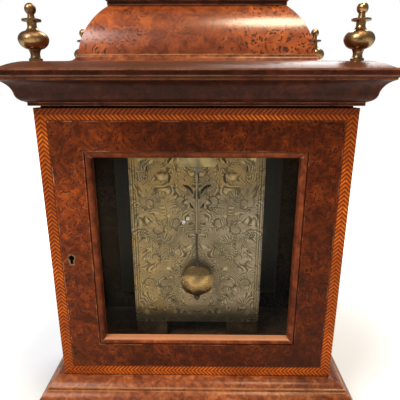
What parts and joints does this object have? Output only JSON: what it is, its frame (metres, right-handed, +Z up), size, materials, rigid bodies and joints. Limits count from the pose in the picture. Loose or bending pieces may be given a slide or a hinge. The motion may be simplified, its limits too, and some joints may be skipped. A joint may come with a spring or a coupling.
{
  "type": "bracket clock",
  "caption": "Bracket clock in a veneered wooden case with a bell top, corner finials, a carrying handle, glazed doors and an engraved fusee movement with a short pendulum.",
  "frame": {"origin": "on the surface that the feet stand on, under the middle of the case", "axes": "+Z up, the dial faces -Y, the back door faces +Y, +X to the right seen from the front"},
  "size_m": [0.294, 0.194, 0.4248],
  "materials": {
    "door_veneer": "polished burr veneer",
    "inlay_wood": "polished herringbone inlay",
    "moulding_wood": "polished dark moulding",
    "bell_wood": "polished burr veneer, lighter",
    "sight_wood": "polished moulding",
    "case_wood": "polished",
    "mask_wood": "stained dark",
    "seat_wood": "plain oak",
    "glass": "clear",
    "old_brass": "aged, rubbed bright on the high places",
    "plate_brass": "dull, engraved",
    "dial_brass": "satin",
    "bob_brass": "satin",
    "silvered": "silvered, matt",
    "blue_steel": "blued",
    "steel": "polished"
  },
  "bodies": {
    "case": {"base_moulding": "moulding_wood", "base_board": "case_wood", "feet": "moulding_wood", "side_left": "case_wood", "side_right": "case_wood", "side_sight_left": "sight_wood", "side_sight_right": "sight_wood", "side_glass_left": "glass", "side_glass_right": "glass", "top_board": "case_wood", "cornice": "moulding_wood", "bell_skirt": "moulding_wood", "bell": "bell_wood", "bell_bead": "moulding_wood", "bell_neck": "bell_wood", "top_pad": "moulding_wood", "finials": "old_brass", "handle_posts": "old_brass", "dial_mask": "mask_wood", "dial_plate": "dial_brass", "chapter_ring": "silvered", "spandrels": "dial_brass", "seat_board": "seat_wood", "seat_rails": "seat_wood", "back_plate": "plate_brass", "front_plate": "plate_brass", "plate_pillars": "plate_brass", "back_cock": "plate_brass", "back_hinge_case_leaves": "old_brass", "front_hinge_case_leaves": "old_brass"},
    "back_door": {"back_door": "door_veneer", "back_door_inlay": "inlay_wood", "back_door_sight_moulding": "sight_wood", "back_door_glass": "glass", "back_door_escutcheon": "old_brass", "back_door_lock": "steel", "back_hinge_door_leaves": "old_brass"},
    "back_lock_bolt": {"back_door_bolt": "steel"},
    "front_door": {"front_door": "door_veneer", "front_door_inlay": "inlay_wood", "front_door_sight_moulding": "sight_wood", "front_door_glass": "glass", "front_door_escutcheon": "old_brass", "front_door_lock": "steel", "front_hinge_door_leaves": "old_brass"},
    "front_lock_bolt": {"front_door_bolt": "steel"},
    "handle": {"handle": "old_brass"},
    "pendulum": {"pendulum_rod": "steel", "pendulum_bob": "bob_brass"},
    "pallets": {"pallets": "steel"},
    "centre": {"centre_arbor": "plate_brass", "cannon_pinion": "plate_brass", "minute_hand": "blue_steel"},
    "hour": {"hour_wheel": "plate_brass", "hour_hand": "blue_steel"},
    "minute_wheel": {"minute_wheel": "plate_brass"},
    "fusee": {"fusee": "plate_brass"},
    "barrel": {"spring_barrel": "plate_brass"},
    "third": {"third_wheel": "plate_brass"},
    "escape": {"escape_wheel": "plate_brass"}
  },
  "joints": [
    {"name": "back_door_hinge", "type": "hinge", "parent": "case", "child": "back_door", "pos_m": [-0.127, 0.05885, 0.171], "axis": [0, 0, 1], "range_deg": [0, 120]},
    {"name": "front_door_hinge", "type": "hinge", "parent": "case", "child": "front_door", "pos_m": [0.127, -0.05885, 0.171], "axis": [0, 0, 1], "range_deg": [0, 120]},
    {"name": "back_bolt_slide", "type": "slide", "parent": "back_door", "child": "back_lock_bolt", "axis": [1, 0, 0], "range_m": [0, 0.004]},
    {"name": "front_bolt_slide", "type": "slide", "parent": "front_door", "child": "front_lock_bolt", "axis": [-1, 0, 0], "range_m": [0, 0.004]},
    {"name": "handle_hinge", "type": "hinge", "parent": "case", "child": "handle", "pos_m": [0, 0, 0.4203], "axis": [-1, 0, 0], "range_deg": [0, 218]},
    {"name": "pendulum_swing", "type": "hinge", "parent": "case", "child": "pendulum", "pos_m": [0, 0.0505, 0.2479], "axis": [0, 1, 0], "range_deg": [-4, 4]},
    {"name": "pallets_rock", "type": "hinge", "parent": "case", "child": "pallets", "pos_m": [0, 0.0505, 0.2479], "axis": [0, 1, 0], "range_deg": [-4, 4]},
    {"name": "centre_turn", "type": "hinge", "parent": "case", "child": "centre", "pos_m": [0, 0, 0.171], "axis": [0, 1, 0], "continuous": true},
    {"name": "hour_turn", "type": "hinge", "parent": "case", "child": "hour", "pos_m": [0, 0, 0.171], "axis": [0, 1, 0], "continuous": true},
    {"name": "minute_wheel_turn", "type": "hinge", "parent": "case", "child": "minute_wheel", "pos_m": [-0.0234, 0, 0.171], "axis": [0, 1, 0], "continuous": true},
    {"name": "fusee_turn", "type": "hinge", "parent": "case", "child": "fusee", "pos_m": [0.01878, 0, 0.1474], "axis": [0, 1, 0], "continuous": true},
    {"name": "barrel_turn", "type": "hinge", "parent": "case", "child": "barrel", "pos_m": [-0.02882, 0, 0.1231], "axis": [0, 1, 0], "continuous": true},
    {"name": "third_turn", "type": "hinge", "parent": "case", "child": "third", "pos_m": [0.00614, 0, 0.1976], "axis": [0, 1, 0], "continuous": true},
    {"name": "escape_turn", "type": "hinge", "parent": "case", "child": "escape", "pos_m": [0, 0, 0.21925], "axis": [0, 1, 0], "continuous": true}
  ],
  "couplings": [
    {"joint": "pallets_rock", "follows": "pendulum_swing", "ratio": 1},
    {"joint": "third_turn", "follows": "escape_turn", "ratio": -0.071429},
    {"joint": "centre_turn", "follows": "escape_turn", "ratio": 0.0059524},
    {"joint": "hour_turn", "follows": "escape_turn", "ratio": 0.00049603},
    {"joint": "minute_wheel_turn", "follows": "escape_turn", "ratio": -0.0044643},
    {"joint": "fusee_turn", "follows": "escape_turn", "ratio": -0.00049603},
    {"joint": "barrel_turn", "follows": "escape_turn", "ratio": -0.00032242}
  ]
}
